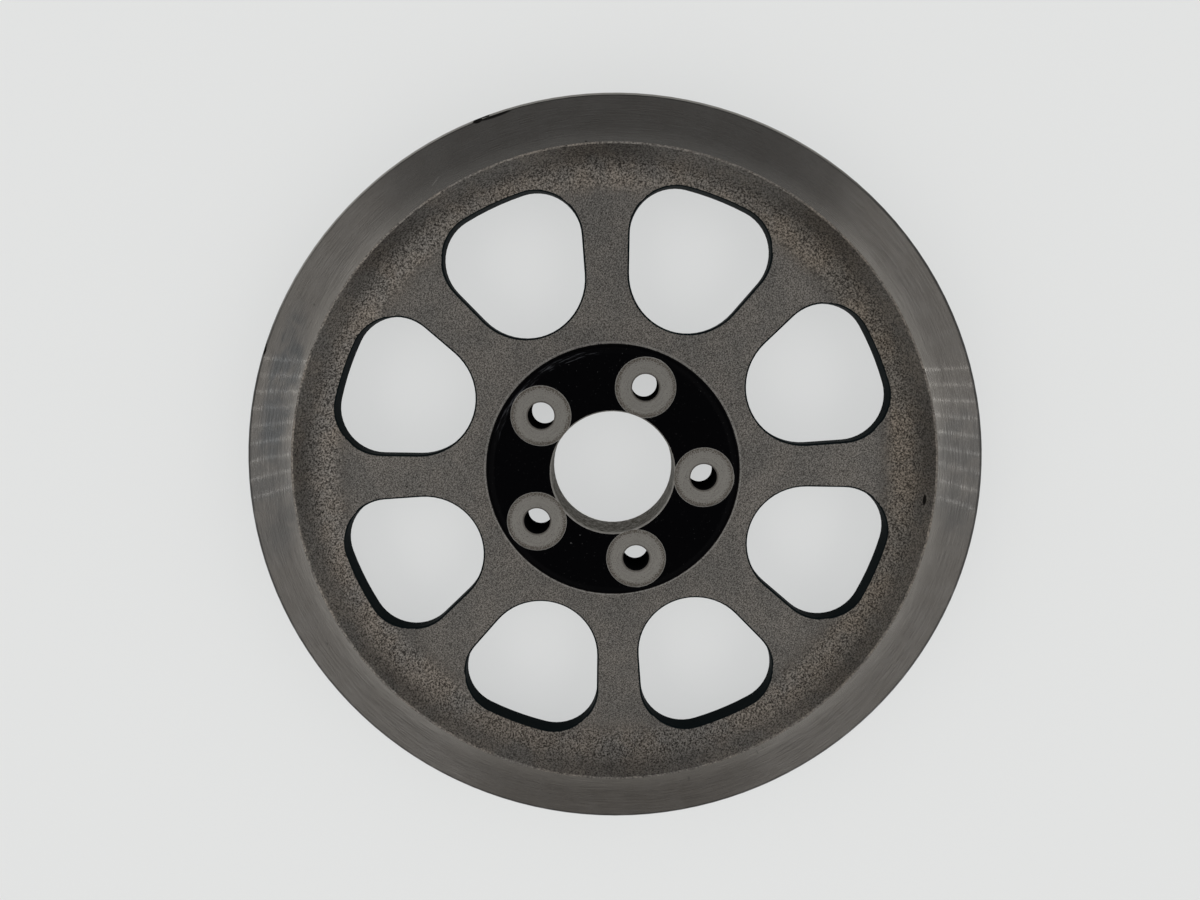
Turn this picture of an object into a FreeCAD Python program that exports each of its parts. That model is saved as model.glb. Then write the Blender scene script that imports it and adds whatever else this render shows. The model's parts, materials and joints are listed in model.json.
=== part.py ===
import FreeCAD, Part
import math
import os
import Sketcher

# Rear drive belt pulley of a motorcycle: one casting, machined on its working faces.
# Z is the wheel axle. Z = 0 is the machined face that seats on the wheel hub, and the
# flanged, outboard face looks along +Z. The first bolt hole, the first window and the
# first tooth space are centred on the X axis.

doc = FreeCAD.newDocument("BeltPulley")

# Driving dimensions in millimetres, angles in degrees.
driving = [
    ("BoreDiameter", 55.88, "centring bore, a slide fit on the wheel hub's spigot"),
    ("HubLength", 23.0, "from the wheel face to the top of the hub pad"),
    ("HubDiameter", 116.0, "hub pad on the outboard side"),
    ("HubShoulder", 4.5, "rounded shoulder of the hub pad"),
    ("HubBackDiameter", 112.0, "hub boss on the wheel side"),
    ("HubBackFillet", 5.0, "foot of the boss on the wheel side"),
    ("BoltCircle", 82.55, "circle of the bolt holes"),
    ("BoltCount", 5, "bolt holes"),
    ("BoltHole", 12.0, "clearance hole for a 7/16 inch bolt"),
    ("SpotFaceDiameter", 27.4, "machined seat for the bolt's washer"),
    ("SpotFaceDepth", 0.4, "spot face below the top of the pad"),
    ("WebBackHeight", 10.0, "back of the web above the wheel face"),
    ("WebThickness", 8.0, "thickness of the spoked web"),
    ("WindowCount", 8, "lightening windows between the spokes"),
    ("WindowHubGap", 10.4, "web between the hub pad and a window's inner end"),
    ("WindowRingGap", 11.7, "from a window's outer edge to the ring's inner edge"),
    ("WindowEndRadius", 26.5, "round inner end of a window"),
    ("WindowCornerRadius", 20.0, "outer corners of a window"),
    ("WindowSideAngle", 20.0, "side of a window from its own centre line"),
    ("WindowEdgeRadius", 0.8, "rounded cast edge round a window"),
    ("RingWidth", 20.2, "turned ring face, from the flange's edge to the ring's inner edge"),
    ("RecessAngle", 65.0, "slope of the wall from the ring down to the web"),
    ("RecessFillet", 20.0, "hollow between that wall and the web"),
    ("RimOverhang", 10.0, "rim behind the wheel face"),
    ("RimWall", 6.0, "metal between the tooth roots and the inside of the rim"),
    ("RimDraft", 3.0, "draft of the inside of the rim"),
    ("RimBackFillet", 10.0, "hollow between the inside of the rim and the web"),
    ("BeltPitch", 14.0, "pitch of the belt's teeth"),
    ("ToothCount", 70, "teeth"),
    ("BeltWidth", 38.1, "a belt 1.5 inches wide"),
    ("BeltClearance", 1.4, "toothed face wider than the belt"),
    ("PitchLineOffset", 1.4, "belt's pitch line outside the tooth tips"),
    ("GrooveDepth", 6.1, "depth of a tooth space"),
    ("GrooveRadius", 4.5, "round bottom of a tooth space"),
    ("GrooveSideAngle", 4.0, "flank of a tooth space from its centre line"),
    ("TipRadius", 1.3, "rounded corner of a tooth"),
    ("FlangeHeight", 6.63, "belt flange above the tooth tips"),
    ("FlangeThickness", 4.5, "belt flange at its edge"),
    ("RingFall", 1.3, "turned ring lower at its outer edge than at its inner edge"),
    ("FlangeBevel", 1.0, "bevels of the flange's edge"),
    ("BackChamfer", 0.8, "chamfers on the wheel side"),
    ("EdgeBreak", 0.5, "broken edges of the bore and of the ring"),
    ("HoleBreak", 0.4, "broken edges of the bolt holes"),
]

dim = doc.addObject("Spreadsheet::Sheet", "dim")
for row, (alias, size, meaning) in enumerate(driving, start=1):
    dim.set("A%d" % row, alias)
    dim.set("B%d" % row, str(size))
    dim.set("C%d" % row, meaning)
    dim.setAlias("B%d" % row, alias)
doc.recompute()

# Sizes that follow from the driving ones.
boreRadius = "dim.BoreDiameter / 2"
hubRadius = "dim.HubDiameter / 2"
hubBackRadius = "dim.HubBackDiameter / 2"
boltRadius = "dim.BoltCircle / 2"
spotFaceHeight = "dim.HubLength - dim.SpotFaceDepth"
padHeight = "dim.HubLength - dim.WebBackHeight - dim.WebThickness"
webFront = "dim.WebBackHeight + dim.WebThickness"
rimBack = "0 - dim.RimOverhang"
flangeBack = "dim.BeltWidth + dim.BeltClearance - dim.RimOverhang"
flangeFront = flangeBack + " + dim.FlangeThickness"
ringTop = flangeFront + " + dim.RingFall"
tipRadius = "dim.ToothCount * dim.BeltPitch / (2 * pi) - dim.PitchLineOffset"
flangeRadius = tipRadius + " + dim.FlangeHeight"
ringInnerRadius = flangeRadius + " - dim.RingWidth"
recessDepth = "(%s - (%s))" % (ringTop, webFront)
wallFoot = "%s - %s / tan(dim.RecessAngle)" % (ringInnerRadius, recessDepth)
windowInner = hubRadius + " + dim.WindowHubGap"
windowOuter = ringInnerRadius + " - dim.WindowRingGap"
grooveCentre = tipRadius + " - dim.GrooveDepth + dim.GrooveRadius"
rimBore = tipRadius + " - dim.GrooveDepth - dim.RimWall"
rimBoreAtWeb = rimBore + " - (dim.RimOverhang + dim.WebBackHeight) * tan(dim.RimDraft)"

# A tooth's rounded corner meets the tooth's tip at this angle, in degrees.
cornerMeetsTip = 20
tipCentreRadius = "%s - dim.TipRadius * cos(%d)" % (tipRadius, cornerMeetsTip)

# A fillet stays within the wall that it rounds.
wallShare = 0.95
shoulderRadius = "min(dim.HubShoulder; %s * (%s))" % (wallShare, padHeight)
recessLimit = "%s * %s / sin(dim.RecessAngle) / tan(dim.RecessAngle / 2)" % (wallShare, recessDepth)
recessRadius = "min(dim.RecessFillet; %s)" % recessLimit

# Edges are found again by their size and place, to within this many millimetres.
closeEnough = 0.001
fillet = "PartDesign::Fillet"
chamfer = "PartDesign::Chamfer"


def number(expression):
    """The value of an expression over the sheet, as a plain number."""
    value = dim.evalExpression(expression)
    return float(getattr(value, "Value", value))


def newSketch(body, role, name, height=None):
    """A sketch on one of the body's origin planes, raised along the plane's normal."""
    plane = [f for f in body.Origin.OriginFeatures if f.Role == role][0]
    sketch = body.newObject("Sketcher::SketchObject", name)
    sketch.AttachmentSupport = [(plane, "")]
    sketch.MapMode = "FlatFace"
    if height:
        sketch.setExpression(".AttachmentOffset.Base.z", height)
    return sketch


def sizeConstraint(sketch, kind, elements, expression):
    """A dimension of the sketch that follows the sheet."""
    index = sketch.addConstraint(Sketcher.Constraint(kind, *elements, number(expression)))
    sketch.setExpression("Constraints[%d]" % index, expression)


def angleConstraint(sketch, line, expression):
    """The direction of a line, from the sketch's X axis."""
    angle = math.radians(number(expression))
    index = sketch.addConstraint(Sketcher.Constraint("Angle", line, angle))
    sketch.setExpression("Constraints[%d]" % index, expression)


def placePoint(sketch, element, point, across, up):
    """Ties one end of a line to its place from the sketch's origin."""
    for kind, expression in (("DistanceX", across), ("DistanceY", up)):
        if abs(number(expression)) < 1e-9:
            onAxis = -2 if kind == "DistanceX" else -1
            sketch.addConstraint(Sketcher.Constraint("PointOnObject", element, point, onAxis))
        else:
            sizeConstraint(sketch, kind, (-1, 1, element, point), expression)


def polygonSketch(sketch, corners):
    """A closed outline of straight lines through corners given as expressions."""
    points = [FreeCAD.Vector(number(x), number(y), 0) for x, y in corners]
    for start, end in zip(points, points[1:] + points[:1]):
        sketch.addGeometry(Part.LineSegment(start, end))
    for element in range(len(points)):
        following = (element + 1) % len(points)
        sketch.addConstraint(Sketcher.Constraint("Coincident", element, 2, following, 1))
        placePoint(sketch, element, 1, *corners[element])


def isCircle(edge, radius, height, fromAxle):
    """Whether an edge is a circle square to the axle, of this radius and in this place."""
    if not isinstance(edge.Curve, Part.Circle):
        return False
    centre = edge.Curve.Center
    misses = (edge.Curve.Radius - radius, centre.z - height, math.hypot(centre.x, centre.y) - fromAxle)
    return max(abs(miss) for miss in misses) < closeEnough


def dressCircles(body, kind, name, expression, places, fromAxle="0"):
    """A fillet or chamfer on circular edges, each place a radius and a height."""
    doc.recompute()
    base = body.Tip
    names = []
    for radius, height in places:
        wanted = (number(radius), number(height), number(fromAxle))
        found = ["Edge%d" % index for index, edge in enumerate(base.Shape.Edges, start=1)
                 if isCircle(edge, *wanted)]
        if not found:
            raise RuntimeError("%s finds no edge at radius %.2f and height %.2f" % (name, *wanted[:2]))
        names += found
    feature = body.newObject(kind, name)
    feature.Base = (base, names)
    feature.setExpression("Radius" if kind == fillet else "Size", expression)


def patternRound(body, feature, name, count):
    """Copies of a feature round the axle; the body then ends in the pattern."""
    axis = [f for f in body.Origin.OriginFeatures if f.Role == "Z_Axis"][0]
    pattern = body.newObject("PartDesign::PolarPattern", name)
    pattern.Originals = [feature]
    pattern.Axis = (axis, [""])
    pattern.Angle = 360
    pattern.setExpression("Occurrences", count)
    feature.Visibility = False
    body.Tip = pattern


def turnSection(body):
    """Hub, web, rim and flange, turned in one section about the axle."""
    sketch = newSketch(body, "XZ_Plane", "Section")
    polygonSketch(sketch, [
        (boreRadius, "0"),
        (boreRadius, "dim.HubLength"),
        (hubRadius, "dim.HubLength"),
        (hubRadius, webFront),
        (wallFoot, webFront),
        (ringInnerRadius, ringTop),
        (flangeRadius, flangeFront),
        (flangeRadius, flangeBack),
        (tipRadius, flangeBack),
        (tipRadius, rimBack),
        (rimBore, rimBack),
        (rimBoreAtWeb, "dim.WebBackHeight"),
        (hubBackRadius, "dim.WebBackHeight"),
        (hubBackRadius, "0"),
    ])
    blank = body.newObject("PartDesign::Revolution", "Blank")
    blank.Profile = sketch
    blank.ReferenceAxis = (sketch, ["V_Axis"])
    blank.Angle = 360
    sketch.Visibility = False

    dressCircles(body, fillet, "Recess", recessRadius, [(wallFoot, webFront)])
    dressCircles(body, fillet, "Shoulder", shoulderRadius, [(hubRadius, "dim.HubLength")])
    dressCircles(body, fillet, "RimBack", "dim.RimBackFillet", [(rimBoreAtWeb, "dim.WebBackHeight")])
    dressCircles(body, fillet, "HubBack", "dim.HubBackFillet", [(hubBackRadius, "dim.WebBackHeight")])
    dressCircles(body, chamfer, "FlangeBevels", "dim.FlangeBevel",
                 [(flangeRadius, flangeFront), (flangeRadius, flangeBack)])
    dressCircles(body, chamfer, "BackChamfers", "dim.BackChamfer",
                 [(tipRadius, rimBack), (rimBore, rimBack), (hubBackRadius, "0")])
    dressCircles(body, chamfer, "EdgeBreaks", "dim.EdgeBreak",
                 [(boreRadius, "0"), (boreRadius, "dim.HubLength"), (ringInnerRadius, ringTop)])


def drillBoltHoles(body):
    """Bolt holes with a spot face for each washer, and a broken edge at both ends."""
    sketch = newSketch(body, "XY_Plane", "BoltHoleCentre", "dim.HubLength")
    centre = FreeCAD.Vector(number(boltRadius), 0, 0)
    sketch.addGeometry(Part.Circle(centre, FreeCAD.Vector(0, 0, 1), number("dim.BoltHole / 2")))
    sketch.addConstraint(Sketcher.Constraint("PointOnObject", 0, 3, -1))
    sizeConstraint(sketch, "DistanceX", (-1, 1, 0, 3), boltRadius)
    sizeConstraint(sketch, "Radius", (0,), "dim.BoltHole / 2")
    doc.recompute()
    hole = body.newObject("PartDesign::Hole", "BoltHole")
    hole.Profile = sketch
    hole.Threaded = False
    hole.DepthType = "ThroughAll"
    hole.HoleCutType = "Counterbore"
    hole.HoleCutCustomValues = True
    hole.setExpression("Diameter", "dim.BoltHole")
    hole.setExpression("HoleCutDiameter", "dim.SpotFaceDiameter")
    hole.setExpression("HoleCutDepth", "dim.SpotFaceDepth")
    sketch.Visibility = False
    doc.recompute()
    patternRound(body, hole, "BoltHoles", "dim.BoltCount")
    dressCircles(body, chamfer, "HoleBreaks", "dim.HoleBreak",
                 [("dim.BoltHole / 2", "0"), ("dim.BoltHole / 2", spotFaceHeight)], boltRadius)


def cutWindows(body):
    """Windows with a round inner end, straight sides and an outer edge about the axle."""
    inner = number(windowInner)
    end = number("dim.WindowEndRadius")
    outer = number(windowOuter)
    corner = number("dim.WindowCornerRadius")
    angle = math.radians(number("dim.WindowSideAngle"))
    normal = FreeCAD.Vector(-math.sin(angle), math.cos(angle), 0)
    along = FreeCAD.Vector(math.cos(angle), math.sin(angle), 0)
    endCentre = FreeCAD.Vector(inner + end, 0, 0)
    sideStart = endCentre + normal * end
    # The corner's centre is one corner radius in from the side and from the outer edge.
    offset = sideStart.dot(normal) - corner
    reach = math.sqrt((outer - corner) ** 2 - offset ** 2)
    cornerCentre = normal * offset + along * reach
    sideEnd = cornerCentre + normal * corner
    cornerEnd = cornerCentre * (outer / (outer - corner))

    def mirrored(point):
        return FreeCAD.Vector(point.x, -point.y, 0)

    def arcMiddle(centre, radius, first, second):
        direction = (first - centre).normalize() + (second - centre).normalize()
        return centre + direction.normalize() * radius

    cornerMiddle = arcMiddle(cornerCentre, corner, sideEnd, cornerEnd)
    sketch = newSketch(body, "XY_Plane", "WindowOutline", ringTop)
    sketch.addGeometry([
        Part.Arc(sideStart, FreeCAD.Vector(inner, 0, 0), mirrored(sideStart)),
        Part.LineSegment(mirrored(sideStart), mirrored(sideEnd)),
        Part.Arc(mirrored(sideEnd), mirrored(cornerMiddle), mirrored(cornerEnd)),
        Part.Arc(mirrored(cornerEnd), FreeCAD.Vector(outer, 0, 0), cornerEnd),
        Part.Arc(cornerEnd, cornerMiddle, sideEnd),
        Part.LineSegment(sideEnd, sideStart),
    ])
    roundEnd, lowerSide, lowerCorner, outerEdge, upperCorner, upperSide = range(6)
    for element in range(6):
        following = (element + 1) % 6
        sketch.addConstraint(Sketcher.Constraint("Tangent", element, 2, following, 1))
    sketch.addConstraint(Sketcher.Constraint("PointOnObject", roundEnd, 3, -1))
    sketch.addConstraint(Sketcher.Constraint("Coincident", outerEdge, 3, -1, 1))
    sketch.addConstraint(Sketcher.Constraint("Equal", lowerCorner, upperCorner))
    sizeConstraint(sketch, "Radius", (roundEnd,), "dim.WindowEndRadius")
    sizeConstraint(sketch, "DistanceX", (-1, 1, roundEnd, 3), windowInner + " + dim.WindowEndRadius")
    sizeConstraint(sketch, "Radius", (outerEdge,), windowOuter)
    sizeConstraint(sketch, "Radius", (upperCorner,), "dim.WindowCornerRadius")
    angleConstraint(sketch, lowerSide, "0 - dim.WindowSideAngle")
    angleConstraint(sketch, upperSide, "dim.WindowSideAngle - 180")
    window = body.newObject("PartDesign::Pocket", "Window")
    window.Profile = sketch
    window.Type = "ThroughAll"
    sketch.Visibility = False
    patternRound(body, window, "Windows", "dim.WindowCount")
    roundWindowEdges(body)


def roundWindowEdges(body):
    """Rounds both edges of each window, on the web and where the outer edge climbs the recess."""
    doc.recompute()
    base = body.Tip
    inner = number(windowInner)
    outer = number(windowOuter)
    names = []
    for index, edge in enumerate(base.Shape.Edges, start=1):
        middle = edge.valueAt((edge.FirstParameter + edge.LastParameter) / 2)
        points = [vertex.Point for vertex in edge.Vertexes] + [middle]
        reach = [math.hypot(point.x, point.y) for point in points]
        if min(reach) < inner - closeEnough or max(reach) > outer + closeEnough:
            continue
        front = edge.BoundBox.ZMin > number(webFront) - closeEnough
        back = abs(edge.BoundBox.ZMax - number("dim.WebBackHeight")) < closeEnough
        # A circle about the axle is a join of the turned section, unless it is the outer edge.
        turned = max(reach) - min(reach) < closeEnough and outer - reach[0] > closeEnough
        if (front or back) and not turned:
            names.append("Edge%d" % index)
    rounded = body.newObject(fillet, "WindowEdges")
    rounded.Base = (base, names)
    rounded.setExpression("Radius", "dim.WindowEdgeRadius")


def cutTeeth(body):
    """Tooth spaces with a round bottom, steep flanks and rounded tooth corners."""
    bottom = number("dim.GrooveRadius")
    rounding = number("dim.TipRadius")
    slope = math.radians(number("dim.GrooveSideAngle"))
    bottomCentre = FreeCAD.Vector(number(grooveCentre), 0, 0)
    normal = FreeCAD.Vector(-math.sin(slope), math.cos(slope), 0)
    along = FreeCAD.Vector(math.cos(slope), math.sin(slope), 0)
    flankStart = bottomCentre + normal * bottom
    offset = flankStart.dot(normal) + rounding
    tipCentre = normal * offset + along * math.sqrt(number(tipCentreRadius) ** 2 - offset ** 2)
    flankEnd = tipCentre - normal * rounding
    tipTop = tipCentre + FreeCAD.Vector(rounding, 0, 0)
    tipMiddle = tipCentre + (FreeCAD.Vector(1, 0, 0) - normal).normalize() * rounding
    clear = FreeCAD.Vector(number(flangeRadius), tipTop.y, 0)

    def mirrored(point):
        return FreeCAD.Vector(point.x, -point.y, 0)

    sketch = newSketch(body, "XY_Plane", "ToothSpaceOutline", flangeBack)
    sketch.addGeometry([
        Part.Arc(flankStart, bottomCentre - FreeCAD.Vector(bottom, 0, 0), mirrored(flankStart)),
        Part.LineSegment(mirrored(flankStart), mirrored(flankEnd)),
        Part.Arc(mirrored(tipTop), mirrored(tipMiddle), mirrored(flankEnd)),
        Part.LineSegment(mirrored(tipTop), mirrored(clear)),
        Part.LineSegment(mirrored(clear), clear),
        Part.LineSegment(clear, tipTop),
        Part.Arc(flankEnd, tipMiddle, tipTop),
        Part.LineSegment(flankEnd, flankStart),
    ])
    base, lowerFlank, lowerTip, lowerRiser, outside, upperRiser, upperTip, upperFlank = range(8)
    for first, end, second, start in ((base, 2, lowerFlank, 1), (lowerFlank, 2, lowerTip, 2),
                                      (upperTip, 1, upperFlank, 1), (upperFlank, 2, base, 1)):
        sketch.addConstraint(Sketcher.Constraint("Tangent", first, end, second, start))
    for first, end, second, start in ((lowerTip, 1, lowerRiser, 1), (lowerRiser, 2, outside, 1),
                                      (outside, 2, upperRiser, 1), (upperRiser, 2, upperTip, 2)):
        sketch.addConstraint(Sketcher.Constraint("Coincident", first, end, second, start))
    sketch.addConstraint(Sketcher.Constraint("PointOnObject", base, 3, -1))
    sketch.addConstraint(Sketcher.Constraint("Equal", lowerTip, upperTip))
    sketch.addConstraint(Sketcher.Constraint("Horizontal", lowerTip, 3, lowerTip, 1))
    sketch.addConstraint(Sketcher.Constraint("Horizontal", upperTip, 3, upperTip, 2))
    sketch.addConstraint(Sketcher.Constraint("Horizontal", lowerRiser))
    sketch.addConstraint(Sketcher.Constraint("Horizontal", upperRiser))
    sketch.addConstraint(Sketcher.Constraint("Vertical", outside))
    sizeConstraint(sketch, "Radius", (base,), "dim.GrooveRadius")
    sizeConstraint(sketch, "DistanceX", (-1, 1, base, 3), grooveCentre)
    sizeConstraint(sketch, "Radius", (upperTip,), "dim.TipRadius")
    sizeConstraint(sketch, "Distance", (-1, 1, lowerTip, 3), tipCentreRadius)
    sizeConstraint(sketch, "Distance", (-1, 1, upperTip, 3), tipCentreRadius)
    sizeConstraint(sketch, "DistanceX", (-1, 1, outside, 1), flangeRadius)
    angleConstraint(sketch, lowerFlank, "0 - dim.GrooveSideAngle")
    angleConstraint(sketch, upperFlank, "dim.GrooveSideAngle - 180")
    space = body.newObject("PartDesign::Pocket", "ToothSpace")
    space.Profile = sketch
    space.Type = "ThroughAll"
    sketch.Visibility = False
    patternRound(body, space, "Teeth", "dim.ToothCount")


pulley = doc.addObject("PartDesign::Body", "Pulley")
pulley.Label = "pulley"
turnSection(pulley)
drillBoltHoles(pulley)
cutWindows(pulley)
cutTeeth(pulley)
doc.recompute()

for item in doc.Objects:
    if "Invalid" in item.State or "Error" in item.State:
        raise RuntimeError("%s failed to build: %s" % (item.Label, item.State))

os.makedirs("parts", exist_ok=True)
for piece in (pulley,):
    if piece.Shape.isNull() or not piece.Shape.isValid() or len(piece.Shape.Solids) != 1:
        raise RuntimeError("%s has no single valid solid" % piece.Label)
    piece.Shape.exportStep("parts/%s.step" % piece.Label)
    print("%s: %.0f mm3, %d faces" % (piece.Label, piece.Shape.Volume, len(piece.Shape.Faces)))
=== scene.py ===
import json
import math

import bmesh
import bpy
from mathutils import Matrix, Vector


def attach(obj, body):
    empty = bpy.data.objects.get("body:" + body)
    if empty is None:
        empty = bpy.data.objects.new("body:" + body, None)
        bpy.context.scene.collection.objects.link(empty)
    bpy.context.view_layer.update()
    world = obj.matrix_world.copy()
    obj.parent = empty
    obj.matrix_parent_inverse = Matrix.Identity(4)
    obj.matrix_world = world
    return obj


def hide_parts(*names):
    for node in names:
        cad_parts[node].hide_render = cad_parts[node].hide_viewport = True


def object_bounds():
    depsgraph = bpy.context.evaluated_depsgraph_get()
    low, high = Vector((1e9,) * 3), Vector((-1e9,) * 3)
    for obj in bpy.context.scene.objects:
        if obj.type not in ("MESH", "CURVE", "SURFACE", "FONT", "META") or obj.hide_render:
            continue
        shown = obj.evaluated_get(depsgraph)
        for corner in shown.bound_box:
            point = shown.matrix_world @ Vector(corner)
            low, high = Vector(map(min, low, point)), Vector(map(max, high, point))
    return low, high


# Rear drive belt pulley, lying on its back. The casting's form comes from the frame. This
# file gives it its finishes and its nicks, with a floor, lights and a camera.

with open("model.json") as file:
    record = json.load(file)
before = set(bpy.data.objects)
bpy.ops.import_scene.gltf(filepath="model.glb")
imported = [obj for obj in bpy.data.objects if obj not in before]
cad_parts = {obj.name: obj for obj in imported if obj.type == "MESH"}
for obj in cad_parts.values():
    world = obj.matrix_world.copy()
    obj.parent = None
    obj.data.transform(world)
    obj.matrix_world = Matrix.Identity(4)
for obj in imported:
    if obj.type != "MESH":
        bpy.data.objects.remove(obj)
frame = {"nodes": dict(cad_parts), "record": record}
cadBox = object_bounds()

mm = 0.001
scene = bpy.context.scene
scene.view_settings.view_transform = "Standard"

mounts = {mount["name"]: mount for mount in frame["record"]["mounts"]}
boltDims = mounts["wheel_bolts"]["dims"]
rimReach = cadBox[1].x

# Places on the casting, in metres, that say where one finish ends and the next starts.
pulley = {
    "boreRadius": mounts["hub_bore"]["dims"]["r_mm"] * mm,
    "edgeBreak": 0.5 * mm,
    "boltCircle": boltDims["pcd_mm"] / 2 * mm,
    "boltCount": boltDims["count"],
    "boltHole": boltDims["hole_r_mm"] * mm,
    "holeBreak": 0.4 * mm,
    "spotFace": 13.7 * mm,
    "spotFaceTop": 22.6 * mm,
    "padTop": 23 * mm,
    "padRadius": 58 * mm,
    "webFront": 18 * mm,
    "webBack": 10 * mm,
    "recessStart": 120 * mm,
    "ringInner": rimReach - 20.2 * mm,
    "rimReach": rimReach,
    "flangeBack": 29.5 * mm,
    "toothTip": rimReach - 6.63 * mm,
    "toothDepth": 6.1 * mm,
    "rimBack": cadBox[0].z,
    "hubBack": 56 * mm,
}

# A window's outline, about its own centre line.
window = {
    "count": 8,
    "inner": 68.4 * mm,
    "outer": rimReach - 31.9 * mm,
    "end": 26.5 * mm,
    "corner": 20 * mm,
    "side": math.radians(20),
    "edge": 0.8 * mm,
}

# The photograph's right is turned by this angle from the part's X axis.
photoTurn = math.radians(-69.26)


def fromPhoto(x, y, z):
    return Matrix.Rotation(photoTurn, 3, "Z") @ Vector((x, y, z))


def onPart(angle, reach, height):
    # a place by its angle on the part in degrees, and its reach and height in mm
    around = math.radians(angle)
    return Vector((reach * math.cos(around), reach * math.sin(around), height)) * mm


def setSocket(tree, socket, value):
    if isinstance(value, bpy.types.NodeSocket):
        tree.links.new(value, socket)
    else:
        socket.default_value = value


def addNode(tree, kind, inputs=None, **settings):
    node = tree.nodes.new(kind)
    for name, value in settings.items():
        setattr(node, name, value)
    for label, value in (inputs or {}).items():
        setSocket(tree, node.inputs[label], value)
    return node


def calc(tree, operation, first, second=0.0):
    return addNode(tree, "ShaderNodeMath", {0: first, 1: second}, operation=operation).outputs[0]


def times(tree, first, second):
    return calc(tree, "MULTIPLY", first, second)


def calcVector(tree, operation, first, second=(0.0, 0.0, 0.0)):
    return addNode(tree, "ShaderNodeVectorMath", {0: first, 1: second},
                   operation=operation).outputs[0]


def along(tree, vector, direction):
    # how far a vector reaches in a direction
    return addNode(tree, "ShaderNodeVectorMath", {0: vector, 1: direction},
                   operation="DOT_PRODUCT").outputs["Value"]


def splitUp(tree, vector):
    return addNode(tree, "ShaderNodeSeparateXYZ", {0: vector}).outputs


def joinUp(tree, x, y=0.0, z=0.0):
    return addNode(tree, "ShaderNodeCombineXYZ", {0: x, 1: y, 2: z}).outputs[0]


def length(tree, vector):
    return addNode(tree, "ShaderNodeVectorMath", {0: vector}, operation="LENGTH").outputs["Value"]


def smooth(tree, value, low, high):
    # 0 at low and 1 at high, whichever is larger
    return addNode(tree, "ShaderNodeMapRange", {"Value": value, "From Min": low, "From Max": high},
                   interpolation_type="SMOOTHSTEP").outputs["Result"]


def beside(tree, value, edge, limits):
    # as smooth, with both limits measured from an edge
    return smooth(tree, value, edge + limits[0], edge + limits[1])


def mixColour(tree, share, first, second, blend="MIX"):
    node = addNode(tree, "ShaderNodeMix", data_type="RGBA", blend_type=blend)
    for index, value in ((0, share), (6, first), (7, second)):
        setSocket(tree, node.inputs[index], value)
    return node.outputs[2]


def scaled(tree, colour, factor):
    # darker with a factor below 1, paler with one above it
    return mixColour(tree, 1.0, colour, joinUp(tree, factor, factor, factor), "MULTIPLY")


def mixValue(tree, share, first, second):
    node = addNode(tree, "ShaderNodeMix", data_type="FLOAT")
    for index, value in ((0, share), (2, first), (3, second)):
        setSocket(tree, node.inputs[index], value)
    return node.outputs[0]


def noise(tree, place, scale, detail=2.0, roughness=0.5):
    return addNode(tree, "ShaderNodeTexNoise", {
        "Vector": place, "Scale": scale, "Detail": detail, "Roughness": roughness}).outputs[0]


# The share of a spot's half size that is at full strength.
softEdge = 0.6


def spot(tree, place, centre, halfSize, turn=0.0):
    # 1 inside a soft spot, whose half sizes are outwards, round the axle and upwards
    local = addNode(tree, "ShaderNodeMapping", {
        "Vector": place, "Location": centre, "Scale": halfSize,
        "Rotation": (0.0, 0.0, math.atan2(centre[1], centre[0]) + turn)},
        vector_type="TEXTURE").outputs[0]
    return smooth(tree, length(tree, local), 1.0, softEdge)


def outwards(tree, place):
    flat = calcVector(tree, "MULTIPLY", place, (1.0, 1.0, 0.0))
    return length(tree, flat), calcVector(tree, "NORMALIZE", flat)


def newGroup(name, inputs, outputs):
    group = bpy.data.node_groups.new(name, "ShaderNodeTree")
    for label, value in inputs.items():
        kind = "NodeSocketVector" if value is None else "NodeSocketFloat"
        socket = group.interface.new_socket(label, in_out="INPUT", socket_type=kind)
        if value is not None:
            socket.default_value = value
    for label in outputs:
        group.interface.new_socket(label, in_out="OUTPUT", socket_type="NodeSocketFloat")
    start = group.nodes.new("NodeGroupInput").outputs
    end = group.nodes.new("NodeGroupOutput").inputs
    return group, start, end


def useGroup(tree, group, **inputs):
    node = addNode(tree, "ShaderNodeGroup", node_tree=group)
    for label, value in inputs.items():
        setSocket(tree, node.inputs[label], value)
    return node.outputs


# Settings of the two groups. A range is where a soft step starts and ends, and a pair without
# that name is a noise's detail and roughness.
grainLook = {
    "grain": (3.0, 0.7),
    "cellsToGrain": 0.75,
    "patchesToGrain": 0.4,
    "pittingLimits": (0.66, 0.44),
    "pittingBlend": 0.06,
    "pitRange": (0.45, 0.15),
    "mottleScale": 55.0,
    "mottle": (4.0, 0.55),
}
toolLook = {
    "marks": (3.0, 0.6),
    "polishScale": 6.0,
    "polishRange": (0.4, 0.62),
    "stain": (5.0, 0.62),
    "stainDistortion": 0.4,
    "frecklesToStains": 9.0,
}


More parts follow.
